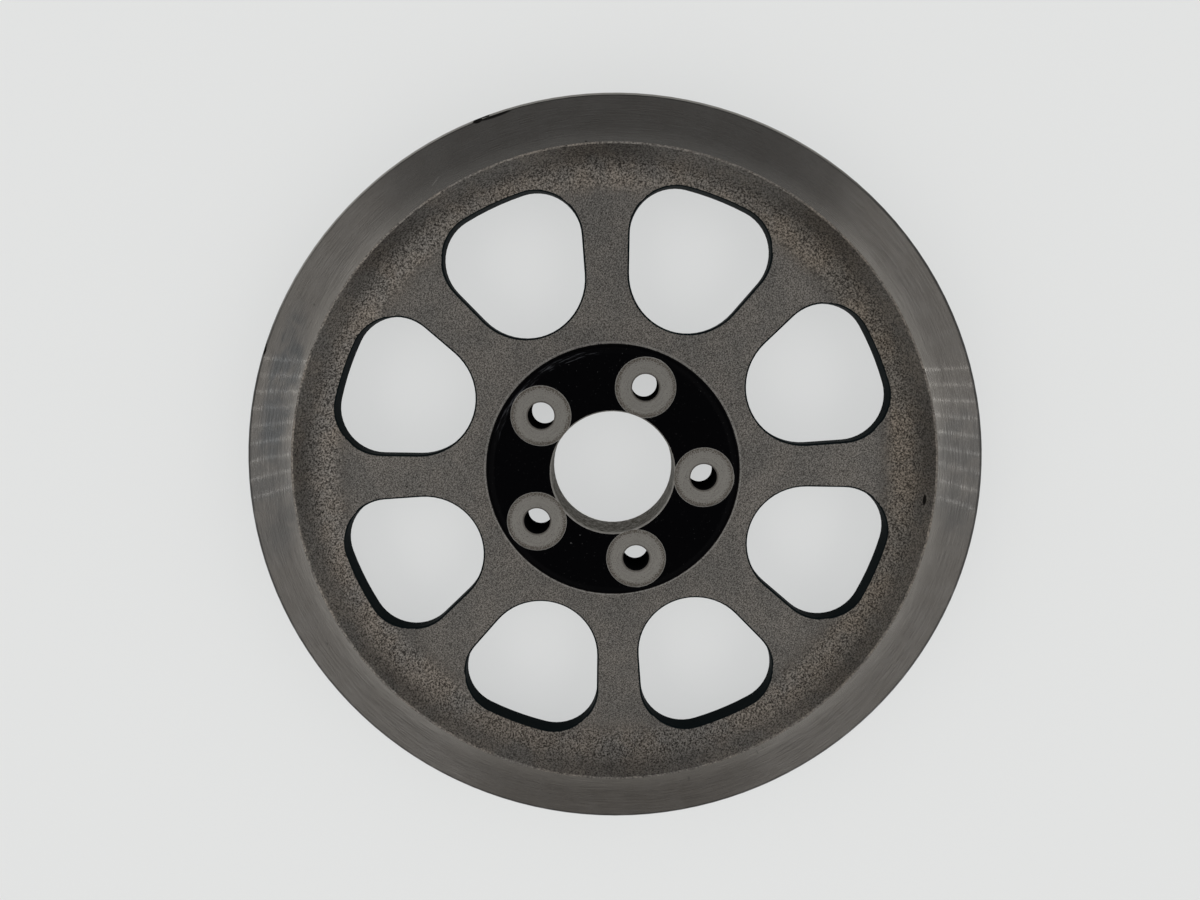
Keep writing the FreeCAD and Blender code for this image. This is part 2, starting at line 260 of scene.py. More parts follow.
def makeCastGrain():
    # pits and grain of blasted or painted cast metal
    group, start, end = newGroup("castGrain", {"Place": None, "Scale": 1000.0, "Pitting": 0.5},
                                 ("Grain", "Pits", "Mottle", "Height"))
    place, scale = start["Place"], start["Scale"]
    grain = noise(group, place, scale, *grainLook["grain"])
    cells = addNode(group, "ShaderNodeTexVoronoi", {
        "Vector": place, "Scale": times(group, scale, grainLook["cellsToGrain"])},
        feature="F1").outputs["Distance"]
    patches = noise(group, place, times(group, scale, grainLook["patchesToGrain"]), 1.0)
    limit = mixValue(group, start["Pitting"], *grainLook["pittingLimits"])
    chosen = smooth(group, calc(group, "SUBTRACT", patches, limit), 0.0, grainLook["pittingBlend"])
    pits = times(group, smooth(group, cells, *grainLook["pitRange"]), chosen)
    mottle = noise(group, place, grainLook["mottleScale"], *grainLook["mottle"])
    group.links.new(grain, end["Grain"])
    group.links.new(pits, end["Pits"])
    group.links.new(mottle, end["Mottle"])
    group.links.new(calc(group, "SUBTRACT", grain, pits), end["Height"])
    return group


def makeToolMarks():
    # marks that a lathe leaves round an axle, polished lines among them, and stains
    group, start, end = newGroup(
        "toolMarks", {"Place": None, "Across": 3000.0, "Round": 2.0, "Stains": 90.0},
        ("Marks", "Polish", "Stain", "Freckles"))
    place = start["Place"]
    radius, outward = outwards(group, place)
    direction = splitUp(group, outward)
    rings = joinUp(group, times(group, radius, start["Across"]),
                   times(group, direction[0], start["Round"]),
                   times(group, direction[1], start["Round"]))
    detail, roughness = toolLook["stain"]
    stain = addNode(group, "ShaderNodeTexNoise", {
        "Vector": place, "Scale": start["Stains"], "Detail": detail, "Roughness": roughness,
        "Distortion": toolLook["stainDistortion"]}).outputs[0]
    polish = noise(group, rings, toolLook["polishScale"], 1.0)
    polish = smooth(group, polish, *toolLook["polishRange"])
    freckles = noise(group, place, times(group, start["Stains"], toolLook["frecklesToStains"]), 2.0)
    group.links.new(noise(group, rings, 1.0, *toolLook["marks"]), end["Marks"])
    group.links.new(polish, end["Polish"])
    group.links.new(stain, end["Stain"])
    group.links.new(freckles, end["Freckles"])
    return group


castGrain = makeCastGrain()
toolMarks = makeToolMarks()


def newFinish(name, **sockets):
    material = bpy.data.materials.new(name)
    material.use_nodes = True
    tree = material.node_tree
    shader = tree.nodes["Principled BSDF"]
    for label, value in sockets.items():
        shader.inputs[label].default_value = value
    place = addNode(tree, "ShaderNodeTexCoord").outputs["Object"]
    return material, tree, shader, place


def addBump(tree, shader, height, distance):
    bump = addNode(tree, "ShaderNodeBump", {"Height": height, "Distance": distance})
    tree.links.new(bump.outputs[0], shader.inputs["Normal"])


def brushRoundAxle(tree, shader, place):
    # turned marks run round the axle, so the gloss spreads outwards
    tree.links.new(outwards(tree, place)[1], shader.inputs["Tangent"])


# Blasted cast metal of the web and of the hollow beside the ring. The dent has its angle on the
# part in degrees, its reach and height in mm, and its half sizes in mm as a spot has them.
castFinish = {
    "webPale": (0.24, 0.23, 0.216, 1.0),
    "webDark": (0.04, 0.0375, 0.035, 1.0),
    "webGrain": 1600.0,
    "webPitting": 0.2,
    "webRange": (0.3, 0.7),
    "hollowPale": (0.275, 0.26, 0.241, 1.0),
    "hollowDark": (0.032, 0.029, 0.027, 1.0),
    "hollowGrain": 1250.0,
    "hollowPitting": 0.7,
    "hollowRange": (0.36, 0.66),
    "hollowBlend": 9 * mm,
    "patchRange": (0.36, 0.64),
    "patchShades": (0.9, 1.07),
    "rust": (1.0, 0.925, 0.85, 1.0),
    "rustRange": (0.36, 0.62),
    "rustShares": (0.25, 0.75),
    "brownShade": (0.8, 0.78, 0.75, 1.0),
    "shadeSide": (0.99, 0.15, 0.0),
    "shadeSideRange": (40 * mm, 120 * mm),
    "wallRange": (-7 * mm, -2 * mm),
    "wallStrength": 0.2,
    "dent": (286.4, 138.6, 31.0, 0.55, 3.0, 8.0),
    "bare": (0.42, 0.41, 0.39, 1.0),
    "bareEdge": (1.15 * mm, 0.7 * mm),
    "bareRange": (0.38, 0.5),
    "bareStrength": 0.42,
    "pit": (0.012, 0.011, 0.01, 1.0),
    "pitStrength": 0.8,
    "roughness": (0.56, 0.44),
    "bump": 0.06 * mm,
}


def makeBlastedCast():
    look = castFinish
    material, tree, shader, place = newFinish("blastedCast", Metallic=1.0)
    radius = outwards(tree, place)[0]
    hollow = beside(tree, radius, pulley["recessStart"], (0.0, look["hollowBlend"]))
    fine = useGroup(tree, castGrain, Place=place, Scale=look["webGrain"],
                    Pitting=look["webPitting"])
    coarse = useGroup(tree, castGrain, Place=place, Scale=look["hollowGrain"],
                      Pitting=look["hollowPitting"])
    web = mixColour(tree, smooth(tree, fine["Grain"], *look["webRange"]),
                    look["webDark"], look["webPale"])
    side = mixColour(tree, smooth(tree, coarse["Grain"], *look["hollowRange"]),
                     look["hollowDark"], look["hollowPale"])
    base = mixColour(tree, hollow, web, side)
    patchy = smooth(tree, fine["Mottle"], *look["patchRange"])
    base = scaled(tree, base, mixValue(tree, patchy, *look["patchShades"]))
    # rusty dust, most of it in the hollow
    rusty = smooth(tree, fine["Mottle"], *look["rustRange"])
    rusty = times(tree, rusty, mixValue(tree, hollow, *look["rustShares"]))
    base = mixColour(tree, rusty, base, look["rust"], "MULTIPLY")
    # the hollow is darker on one side, a painted shade, with a slight brown tint
    towards = along(tree, place, fromPhoto(*look["shadeSide"]))
    shadedSide = times(tree, smooth(tree, towards, *look["shadeSideRange"]), hollow)
    base = mixColour(tree, shadedSide, base, look["brownShade"], "MULTIPLY")
    # and paler up its wall, painted light lifting the wall out of its shade
    wall = beside(tree, radius, pulley["ringInner"], look["wallRange"])
    base = mixColour(tree, times(tree, wall, look["wallStrength"]), base, look["hollowPale"])
    dent = spot(tree, place, onPart(*look["dent"][:3]), [size * mm for size in look["dent"][3:]])
    base = mixColour(tree, dent, base, look["pit"])
    # a thin bare line on the web round the pad's foot
    foot = beside(tree, radius, pulley["padRadius"], look["bareEdge"])
    foot = times(tree, foot, smooth(tree, coarse["Grain"], *look["bareRange"]))
    base = mixColour(tree, times(tree, foot, look["bareStrength"]), base, look["bare"])
    pits = mixValue(tree, hollow, fine["Pits"], coarse["Pits"])
    base = mixColour(tree, times(tree, pits, look["pitStrength"]), base, look["pit"])
    tree.links.new(base, shader.inputs["Base Color"])
    tree.links.new(mixValue(tree, fine["Grain"], *look["roughness"]), shader.inputs["Roughness"])
    addBump(tree, shader, mixValue(tree, hollow, fine["Height"], coarse["Height"]), look["bump"])
    return material


# Fine turned metal: the ring, the flange's edge, the teeth and the wheel face.
turnedFinish = {
    "metal": (0.118, 0.1125, 0.106, 1.0),
    "stain": (0.107, 0.101, 0.094, 1.0),
    "stainRange": (0.3, 0.7),
    "mark": (0.085, 0.081, 0.076, 1.0),
    "markRange": (0.4, 0.66),
    "markStrength": 0.1,
    # worn metal that is also the colour of painted highlights, then grime that is also the colour
    # of painted shade
    "wornAndHighlight": (0.30, 0.29, 0.27, 1.0),
    "grime": (0.016, 0.0155, 0.015, 1.0),
    "haze": (0.07, 0.074, 0.077, 1.0),
    "anisotropy": 1.0,
    "across": 4600.0,
    "round": 2.2,
    "grain": 1300.0,
    "grainNoise": (3.0, 0.65),
    "grainRange": (0.5, 0.68),
    "grainStrength": 0.4,
    "bump": 0.0006 * mm,
}


def makeTurned(name, wearAndLight, roughness, polished):
    look = turnedFinish
    material, tree, shader, place = newFinish(name, Metallic=1.0, Anisotropic=look["anisotropy"])
    tooling = useGroup(tree, toolMarks, Place=place, Across=look["across"], Round=look["round"])
    stained = smooth(tree, tooling["Stain"], *look["stainRange"])
    base = mixColour(tree, stained, look["metal"], look["stain"])
    lines = smooth(tree, tooling["Marks"], *look["markRange"])
    base = mixColour(tree, times(tree, lines, look["markStrength"]), base, look["mark"])
    grains = noise(tree, place, look["grain"], *look["grainNoise"])
    grains = smooth(tree, grains, *look["grainRange"])
    base = mixColour(tree, times(tree, grains, look["grainStrength"]), base, look["mark"])
    # real wear, and on the ring and the flange edge painted highlight and shade too
    base = wearAndLight(tree, place, tooling, base)
    tree.links.new(base, shader.inputs["Base Color"])
    rough = mixValue(tree, tooling["Polish"], roughness, polished)
    tree.links.new(rough, shader.inputs["Roughness"])
    brushRoundAxle(tree, shader, place)
    addBump(tree, shader, tooling["Marks"], look["bump"])
    return material


# What wear has done to the ring, with a painted highlight along its inner edge. Each spot has its
# angle on the part in degrees, its distance from the axle in mm, its half sizes in mm outwards and
# round the axle, and its strength.
ringLook = {
    "palerRange": (8 * mm, 0.0),
    "palerStrength": 0.22,
    "highlightEdge": (0.55 * mm, 0.2 * mm),
    "highlightRange": (0.42, 0.56),
    "highlightStrength": 0.35,
    "darkSpots": [
        (141.5, 150.7, 0.5, 0.6, 0.6),
        (228.3, 144.1, 1.5, 0.25, 0.7),
        (229.6, 143.2, 0.9, 0.22, 0.5),
        (214.9, 145.3, 1.3, 0.5, 0.45),
        (25.3, 141.9, 0.45, 0.5, 0.85),
        (80.4, 148.1, 0.4, 0.45, 0.8),
        (38.6, 159.7, 0.9, 9.0, 1.0),
        (47.0, 160.1, 0.3, 9.0, 0.4),
    ],
    "hazes": [
        (95.0, 149.0, 8.5, 42.0, 0.75),
        (113.0, 151.0, 14.0, 40.0, 0.4),
        (292.0, 151.0, 14.0, 40.0, 0.35),
    ],
    "hazeRange": (0.32, 0.6),
    "scratch": (51.3, 146.0, 0.24, 3.2, 0.45),
    "scratchTurn": math.radians(22),
    "face": 34.8,
    "spotHeight": 3.0,
    "hazeHeight": 9.0,
    "outerEdge": (-1.6 * mm, -1.1 * mm),
    "outerRange": (0.25, 0.55),
    "outerStrength": 0.8,
}


def ringSpot(tree, place, row, height, turn=0.0):
    angle, reach, outward, around, strength = row
    centre = onPart(angle, reach, ringLook["face"])
    shape = spot(tree, place, centre, (outward * mm, around * mm, height * mm), turn)
    return times(tree, shape, strength)


def ringWearAndHighlight(tree, place, tooling, base):
    look = ringLook
    wornAndHighlight, grime = turnedFinish["wornAndHighlight"], turnedFinish["grime"]
    # paler towards the hollow, with a thin bright line on the inner edge that is a painted
    # highlight
    radius = outwards(tree, place)[0]
    paler = beside(tree, radius, pulley["ringInner"], look["palerRange"])
    base = mixColour(tree, times(tree, paler, look["palerStrength"]), base, wornAndHighlight)
    # the broken bright line along the inner edge is a painted highlight
    brightened = times(tree, beside(tree, radius, pulley["ringInner"], look["highlightEdge"]),
                   smooth(tree, tooling["Stain"], *look["highlightRange"]))
    base = mixColour(tree, times(tree, brightened, look["highlightStrength"]), base, wornAndHighlight)
    for row in look["darkSpots"]:
        base = mixColour(tree, ringSpot(tree, place, row, look["spotHeight"]), base, grime)
    # dull blue-grey patches
    hazy = smooth(tree, tooling["Stain"], *look["hazeRange"])
    for row in look["hazes"]:
        share = times(tree, ringSpot(tree, place, row, look["hazeHeight"]), hazy)
        base = mixColour(tree, share, base, turnedFinish["haze"])
    scratch = ringSpot(tree, place, look["scratch"], look["spotHeight"], look["scratchTurn"])
    base = mixColour(tree, scratch, base, wornAndHighlight)
    # a dark outer line
    line = times(tree, beside(tree, radius, pulley["rimReach"], look["outerEdge"]),
                 smooth(tree, tooling["Stain"], *look["outerRange"]))
    return mixColour(tree, times(tree, line, look["outerStrength"]), base, grime)


# The flange's edge: paler on one side, a painted highlight, and darker in noisy patches on the
# rest, a painted shade.
edgeLook = {
    "up": (-0.25, 1.0, 0.0),
    "ragged": 0.03,
    "litRange": (0.09, 0.14),
    "litStrength": 0.8,
    "darkeningRange": (0.15, 0.45),
    "shadeStrength": 0.85,
}


def edgeLightAndShade(tree, place, tooling, base):
    look = edgeLook
    towardsUp = along(tree, place, fromPhoto(*look["up"]).normalized())
    ragged = times(tree, tooling["Stain"], look["ragged"])
    # the paler side is a painted highlight
    litSide = smooth(tree, calc(tree, "ADD", towardsUp, ragged), *look["litRange"])
    base = mixColour(tree, times(tree, litSide, look["litStrength"]), base, turnedFinish["wornAndHighlight"])
    # the darker rest is painted shade
    darkening = times(tree, calc(tree, "SUBTRACT", 1.0, litSide),
                 smooth(tree, tooling["Stain"], *look["darkeningRange"]))
    return mixColour(tree, times(tree, darkening, look["shadeStrength"]), base, turnedFinish["grime"])


# Dirt in the tooth spaces, none on the crowns that the belt rubs.
toothLook = {
    "wornStrength": 0.5,
    "depthRange": (-0.6 * mm, -4 * mm),
    "darkeningRange": (-0.4, 0.6),
}


def toothWear(tree, place, tooling, base):
    radius = outwards(tree, place)[0]
    depth = beside(tree, radius, pulley["toothTip"], toothLook["depthRange"])
    base = mixColour(tree, toothLook["wornStrength"], base, turnedFinish["wornAndHighlight"])
    darkening = times(tree, depth, smooth(tree, tooling["Stain"], *toothLook["darkeningRange"]))
    return mixColour(tree, darkening, base, turnedFinish["grime"])


# Dark freckles on the wheel face.
freckleRange = (0.6, 0.7)


def faceWear(tree, place, tooling, base):
    freckles = smooth(tree, tooling["Freckles"], *freckleRange)
    return mixColour(tree, freckles, base, turnedFinish["mark"])


# Gloss black paint of the hub pad. A speck has its angle in degrees, its distance from the axle
# in mm and its half size in mm. Edges are measured from the pad's radius or from the web.
padFinish = {
    "paint": (0.0017, 0.0017, 0.0021, 1.0),
    "dust": (0.07, 0.07, 0.07, 1.0),
    "dustScale": 1900.0,
    "dustRange": (0.74, 0.8),
    "dustStrength": 0.7,
    "specks": [(170.6, 37.8, 0.45), (173.6, 32.5, 0.35)],
    "speckHeight": 23.0,
    "shoulderGlint": (0.035, 0.036, 0.04, 1.0),
    "glintSide": (-0.64, 0.77, 0.0),
    "glintSpread": (0.78, 0.93),
    "glintLines": (1500.0, 9.0),
    "glintRange": (0.52, 0.66),
    "shoulderInner": (-5.0 * mm, -4.3 * mm),
    "shoulderOuter": (-1.4 * mm, -2.6 * mm),
    "footRange": (0.5 * mm, 0.2 * mm),
    "footNoise": (260.0, 3.0, 0.7),
    "bareRange": (0.4, 0.55),
    "roughness": 0.12,
    "specular": 0.012,
    "peelScale": 260.0,
    "peel": 0.02 * mm,
}


def makePadPaint():
    look = padFinish
    material, tree, shader, place = newFinish("padPaint", Roughness=look["roughness"])
    shader.inputs["Specular IOR Level"].default_value = look["specular"]
    dusty = smooth(tree, noise(tree, place, look["dustScale"], 1.0), *look["dustRange"])
    for angle, reach, size in look["specks"]:
        speck = spot(tree, place, onPart(angle, reach, look["speckHeight"]), [size * mm] * 3)
        dusty = calc(tree, "MAXIMUM", dusty, speck)
    base = mixColour(tree, times(tree, dusty, look["dustStrength"]), look["paint"], look["dust"])
    # faint glints run along the shoulder on one side, a painted highlight drawn as fine scuff-like
    # lines
    radius, outward = outwards(tree, place)
    towards = along(tree, outward, fromPhoto(*look["glintSide"]))
    across, around = look["glintLines"]
    lines = useGroup(tree, toolMarks, Place=place, Across=across, Round=around)["Marks"]
    glints = times(tree, smooth(tree, lines, *look["glintRange"]),
                   smooth(tree, towards, *look["glintSpread"]))
    shoulder = times(tree, beside(tree, radius, pulley["padRadius"], look["shoulderInner"]),
                     beside(tree, radius, pulley["padRadius"], look["shoulderOuter"]))
    base = mixColour(tree, times(tree, glints, shoulder), base, look["shoulderGlint"])
    # the paint is rubbed through round the pad's foot
    foot = beside(tree, splitUp(tree, place)[2], pulley["webFront"], look["footRange"])
    patchy = smooth(tree, noise(tree, place, *look["footNoise"]), *look["bareRange"])
    bare = times(tree, foot, patchy)
    base = mixColour(tree, bare, base, turnedFinish["wornAndHighlight"])
    tree.links.new(base, shader.inputs["Base Color"])
    tree.links.new(bare, shader.inputs["Metallic"])
    addBump(tree, shader, noise(tree, place, look["peelScale"]), look["peel"])
    return material


# Older paint on the window walls, in the bolt holes and on the back.
oldPaintFinish = {
    "window": (0.0045, 0.0075, 0.0085, 1.0),
    "hole": (0.004, 0.004, 0.0045, 1.0),
    "back": (0.016, 0.016, 0.017, 1.0),
    "dust": (0.06, 0.058, 0.054, 1.0),
    "dustRange": (0.4, 0.7),
    "grain": 420.0,
    "pitting": 0.3,
    "roughnessSpread": 0.2,
    "bump": 0.06 * mm,
}


def makeOldPaint(name, paint, roughness, dust, specular):
    look = oldPaintFinish
    material, tree, shader, place = newFinish(name)
    shader.inputs["Specular IOR Level"].default_value = specular
    grain = useGroup(tree, castGrain, Place=place, Scale=look["grain"], Pitting=look["pitting"])
    dusty = times(tree, smooth(tree, grain["Mottle"], *look["dustRange"]), dust)
    tree.links.new(mixColour(tree, dusty, look[paint], look["dust"]), shader.inputs["Base Color"])
    spread = look["roughnessSpread"]
    rough = calc(tree, "ADD", times(tree, grain["Grain"], spread), roughness - spread / 2)
    tree.links.new(rough, shader.inputs["Roughness"])
    addBump(tree, shader, grain["Height"], look["bump"])
    return material


# Machined seats round the bolt holes. The washer's edge is at a distance from the hole's centre,
# the painted highlight's rim is measured from the seat's edge and the hole's edge from its wall.
seatFinish = {
    "metal": (0.235, 0.228, 0.212, 1.0),
    "markRange": (0.3, 0.7),
    "markShades": (1.08, 0.86),
    "rim": (0.28, 0.275, 0.26, 1.0),
    "rimEdge": (-0.4 * mm, -0.15 * mm),
    "freckle": (0.062, 0.05, 0.04, 1.0),
    "freckleNoise": (2000.0, 2.0, 0.7),
    "freckleRange": (0.54, 0.74),
    "freckleStrength": 0.8,
    "washerEdge": (10.8 * mm, 12.9 * mm),
    "washerShares": (0.1, 0.3),
    "holeEdge": (0.9 * mm, 0.5 * mm),
    "holeEdgeStrength": 0.4,
    "roughness": (0.45, 0.62),
    "across": 3600.0,
    "round": 1.5,
    "stains": 150.0,
    "bump": 0.005 * mm,
}


def nearestBolt(tree, place):
    # the place as seen from the centre of the nearest bolt hole
    sides = splitUp(tree, place)
    angle = calc(tree, "ARCTAN2", sides[1], sides[0])
    step = 2 * math.pi / pulley["boltCount"]
    nearest = times(tree, calc(tree, "ROUND", calc(tree, "DIVIDE", angle, step)), step)
    centre = joinUp(tree, times(tree, calc(tree, "COSINE", nearest), pulley["boltCircle"]),
                    times(tree, calc(tree, "SINE", nearest), pulley["boltCircle"]))
    return calcVector(tree, "SUBTRACT", place, centre)


def makeSeatMetal():
    look = seatFinish
    material, tree, shader, place = newFinish("seatMetal", Metallic=1.0)
    fromBolt = nearestBolt(tree, place)
    radius = outwards(tree, fromBolt)[0]
    tooling = useGroup(tree, toolMarks, Place=fromBolt, Across=look["across"],
                       Round=look["round"], Stains=look["stains"])
    lines = smooth(tree, tooling["Marks"], *look["markRange"])
    base = scaled(tree, look["metal"], mixValue(tree, lines, *look["markShades"]))
    # brown freckles where the washer's edge lay, and a thin bright rim at the seat's edge that is a
    # painted highlight
    washerEdge = times(tree, smooth(tree, radius, *look["washerEdge"]),
                       mixValue(tree, tooling["Stain"], *look["washerShares"]))
    grains = noise(tree, place, *look["freckleNoise"])
    darkening = smooth(tree, calc(tree, "ADD", grains, washerEdge), *look["freckleRange"])
    rim = beside(tree, radius, pulley["spotFace"], look["rimEdge"])
    darkening = times(tree, darkening, calc(tree, "SUBTRACT", 1.0, rim))
    base = mixColour(tree, times(tree, darkening, look["freckleStrength"]), base, look["freckle"])
    base = mixColour(tree, rim, base, look["rim"])
    holeEdge = beside(tree, radius, pulley["boltHole"], look["holeEdge"])
    base = mixColour(tree, times(tree, holeEdge, look["holeEdgeStrength"]), base, look["freckle"])
    tree.links.new(base, shader.inputs["Base Color"])
    tree.links.new(mixValue(tree, darkening, *look["roughness"]), shader.inputs["Roughness"])
    addBump(tree, shader, tooling["Marks"], look["bump"])
    return material


# The bore's wall, and the raw metal in a nick. The wall's rubbed ends are measured from the pad's
# top and from the wheel face.
rawFinish = {
    "bore": (0.33, 0.32, 0.30, 1.0),
    "lower": (0.06, 0.056, 0.05, 1.0),
    "brightened": (0.36, 0.35, 0.33, 1.0),
    "nick": (0.012, 0.0115, 0.011, 1.0),
    "sheen": (0.42, 0.41, 0.395, 1.0),
    "streakStretch": (1.0, 1.0, 2.2),
    "streakNoise": (520.0, 4.0, 0.75),
    "streakRange": (0.44, 0.6),
    "spot": (0.045, 0.042, 0.038, 1.0),
    "spotRange": (0.48, 0.36),
    "spotStrength": 0.6,
    "topEnd": (-2.4 * mm, -1.4 * mm),
    "bottomEnd": (1.6 * mm, 0.9 * mm),
    "endStrength": 0.7,
    "grain": 900.0,
    "pitting": 0.6,
    "bump": 0.03 * mm,
}


def makeRawMetal(name, colours, roughness):
    look = rawFinish
    lower, metal, brightened = (look[colour] for colour in colours)
    material, tree, shader, place = newFinish(name, Metallic=1.0, Roughness=roughness)
    shader.inputs["Specular Tint"].default_value = look["sheen"]
    grain = useGroup(tree, castGrain, Place=place, Scale=look["grain"], Pitting=look["pitting"])
    stretched = calcVector(tree, "MULTIPLY", place, look["streakStretch"])
    streaks = smooth(tree, noise(tree, stretched, *look["streakNoise"]), *look["streakRange"])
    base = mixColour(tree, streaks, lower, metal)
    spots = times(tree, smooth(tree, grain["Grain"], *look["spotRange"]), look["spotStrength"])
    base = mixColour(tree, spots, base, look["spot"])
    # both ends of the wall are rubbed bright
    height = splitUp(tree, place)[2]
    ends = calc(tree, "MAXIMUM", beside(tree, height, pulley["padTop"], look["topEnd"]),
                smooth(tree, height, *look["bottomEnd"]))
    base = mixColour(tree, times(tree, ends, look["endStrength"]), base, brightened)
    tree.links.new(base, shader.inputs["Base Color"])
    addBump(tree, shader, grain["Height"], look["bump"])
    return material


finishes = {
    "cast": makeBlastedCast(),
    "ring": makeTurned("turnedRing", ringWearAndHighlight, roughness=0.3, polished=0.028),
    "edge": makeTurned("flangeEdge", edgeLightAndShade, roughness=0.32, polished=0.25),
    "tooth": makeTurned("toothMetal", toothWear, roughness=0.34, polished=0.3),
    "wheelFace": makeTurned("wheelFace", faceWear, roughness=0.32, polished=0.25),
    "pad": makePadPaint(),
    "windowWall": makeOldPaint("windowPaint", "window", roughness=0.45, dust=0.05, specular=0.004),
    "hole": makeOldPaint("holePaint", "hole", roughness=0.3, dust=0.02, specular=0.0),
    "back": makeOldPaint("backPaint", "back", roughness=0.5, dust=0.35, specular=0.15),
    "seat": makeSeatMetal(),
    "bore": makeRawMetal("boreMetal", ("lower", "bore", "brightened"), roughness=0.45),
    "nick": makeRawMetal("nickMetal", ("nick", "nick", "nick"), roughness=0.6),
}
finishOrder = list(finishes)
print("finishes made:", len(finishOrder))

# Nicks and pits that the casting has: angle on the part in degrees, distance from the axle and
# height in mm, then half sizes in mm round the axle, outwards and upwards.
nicks = [
    (41.3, 160.6, 34.2, 2.3, 1.4, 1.3),
    (90.6, 160.9, 34.5, 2.5, 1.3, 1.3),
    (172.2, 161.2, 34.0, 0.5, 0.7, 0.8),
    (115.4, 95.0, 18.0, 0.45, 0.4, 0.4),
]


def nickMatrix(nick):
    angle, reach, height, alongRim, outward, deep = nick
    turn = Matrix.Rotation(math.radians(angle), 4, "Z")
    place = Matrix.Translation((reach * mm, 0.0, height * mm))
    return turn @ place @ Matrix.Diagonal((outward * mm, alongRim * mm, deep * mm, 1.0))


# Points closer than the first are one point, and shorter edges than the second are removed.
joinWithin = 0.0005 * mm
sliver = 0.0002 * mm


def copyCasting():
    bm = bmesh.new()
    bm.from_mesh(frame["nodes"]["pulley"].data)
    bmesh.ops.remove_doubles(bm, verts=bm.verts, dist=joinWithin)
    bmesh.ops.dissolve_degenerate(bm, edges=bm.edges, dist=sliver)
    mesh = bpy.data.meshes.new("pulley_casting")
    bm.to_mesh(mesh)
    bm.free()
    casting = bpy.data.objects.new("pulley_casting", mesh)
    scene.collection.objects.link(casting)
    return casting


def cutNicks(casting):
    bm = bmesh.new()
    for nick in nicks:
        bmesh.ops.create_icosphere(bm, subdivisions=2, radius=1.0, matrix=nickMatrix(nick))
    mesh = bpy.data.meshes.new("nickCutter")
    bm.to_mesh(mesh)
    bm.free()
    cutter = bpy.data.objects.new("nickCutter", mesh)
    scene.collection.objects.link(cutter)
    cut = casting.modifiers.new("cutNicks", "BOOLEAN")
    cut.operation = "DIFFERENCE"
    cut.solver = "EXACT"
    cut.object = cutter
    depsgraph = bpy.context.evaluated_depsgraph_get()
    done = bpy.data.meshes.new_from_object(casting.evaluated_get(depsgraph))
    casting.modifiers.remove(cut)
    casting.data = done
    bpy.data.objects.remove(cutter)


def pastOutline(place):
    # how far a place lies outside the nearest window's outline, in plan
    step = 2 * math.pi / window["count"]
    angle = math.atan2(place.y, place.x)
    angle -= round(angle / step) * step
    reach = math.hypot(place.x, place.y)
    local = Vector((reach * math.cos(angle), abs(reach * math.sin(angle))))
    across = Vector((-math.sin(window["side"]), math.cos(window["side"])))
    lengthways = Vector((math.cos(window["side"]), math.sin(window["side"])))
    endCentre = Vector((window["inner"] + window["end"], 0.0))
    sideLine = endCentre.dot(across) + window["end"]
    past = max(reach - window["outer"], local.dot(across) - sideLine)
    fromEnd = local - endCentre
    if fromEnd.dot(lengthways) < 0:
        past = max(past, fromEnd.length - window["end"])
    offset = sideLine - window["corner"]
    cornerReach = math.sqrt((window["outer"] - window["corner"]) ** 2 - offset ** 2)
    cornerCentre = across * offset + lengthways * cornerReach
    fromCorner = local - cornerCentre
    sideways = Vector((-cornerCentre.y, cornerCentre.x)).normalized()
    if fromCorner.dot(lengthways) > 0 and fromCorner.dot(sideways) > 0:
        past = max(past, fromCorner.length - window["corner"])
    return past


# How closely a face has to lie to a surface to take its finish.
seams = {
    "slack": 0.03 * mm,
    "nickSlack": 1.03,
    "levelNormal": 0.999,
    "upNormal": 0.9,
    "hollowEdge": 0.55 * mm,
    "wallClimb": 4 * mm,
}


def finishOf(place, normal, nickPlaces):
    reach = math.hypot(place.x, place.y)
    slack = seams["slack"]
    if any((inverse @ place).length < seams["nickSlack"] for inverse in nickPlaces):
        return "nick"
    step = 2 * math.pi / pulley["boltCount"]
    nearest = round(math.atan2(place.y, place.x) / step) * step
    fromBolt = math.hypot(place.x - pulley["boltCircle"] * math.cos(nearest),
                          place.y - pulley["boltCircle"] * math.sin(nearest))
    if fromBolt < pulley["boltHole"] + slack:
        return "hole"
    seatLevel = place.z > pulley["spotFaceTop"] - pulley["holeBreak"]
    if seatLevel and fromBolt < pulley["spotFace"] + slack:
        return "seat"
    if reach < pulley["boreRadius"] + pulley["edgeBreak"]:
        return "bore"
    if place.z > pulley["webFront"] + slack and reach < pulley["padRadius"] + slack:
        return "pad"
    if place.z < slack and reach < pulley["hubBack"] + slack:
        return "wheelFace"
    inWeb = pulley["webBack"] - slack < place.z < pulley["webFront"] + seams["wallClimb"]
    if inWeb and reach < window["outer"] + window["edge"]:
        past = pastOutline(place)
        flat = abs(normal.z) > seams["levelNormal"]
        limit = seams["hollowEdge"] if reach > pulley["recessStart"] else window["edge"] + slack
        if past < limit and not flat:
            return "windowWall"
    facesUp = normal.z > seams["upNormal"]
    onFlange = place.z > pulley["flangeBack"] - slack and reach > pulley["toothTip"] - slack
    if onFlange or (facesUp and reach > pulley["ringInner"]):
        return "ring" if facesUp else "edge"
    if place.z >= pulley["webFront"] - slack and normal.z > 0:
        return "cast"
    toothRoot = pulley["toothTip"] - pulley["toothDepth"]
    if reach > toothRoot - slack or place.z < pulley["rimBack"] + slack:
        return "tooth"
    return "back"


# Faces that meet at more than this are a real edge.
sharpEdge = math.radians(28)


